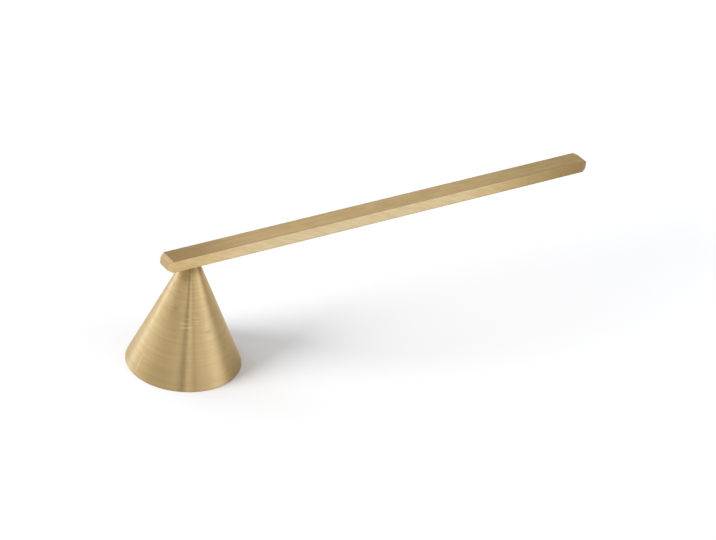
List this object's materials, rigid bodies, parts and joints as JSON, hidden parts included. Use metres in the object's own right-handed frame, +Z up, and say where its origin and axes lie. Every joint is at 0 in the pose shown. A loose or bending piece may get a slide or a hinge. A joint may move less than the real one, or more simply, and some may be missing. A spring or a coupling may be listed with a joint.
{
  "type": "candle snuffer",
  "caption": "Candle snuffer: a hollow conical bell fixed mouth down under one end of a long flat bar handle, lowered over a flame to put it out.",
  "frame": {"origin": "centre of the bell's mouth, in the plane of its rim", "axes": "+Z up the bell's axis to the handle, +X along the handle to its free end"},
  "size_m": [0.2109, 0.0458, 0.05],
  "materials": {
    "bar_brass": "satin, brushed along the bar",
    "bell_brass": "satin, brushed round the axis",
    "screw_brass": "bright, machined",
    "washer_steel": "plain spring steel"
  },
  "bodies": {
    "root": {"handle_bar": "bar_brass", "snuffer_bell": "bell_brass", "bell_screw": "screw_brass", "lock_washer": "washer_steel"}
  },
  "joints": []
}
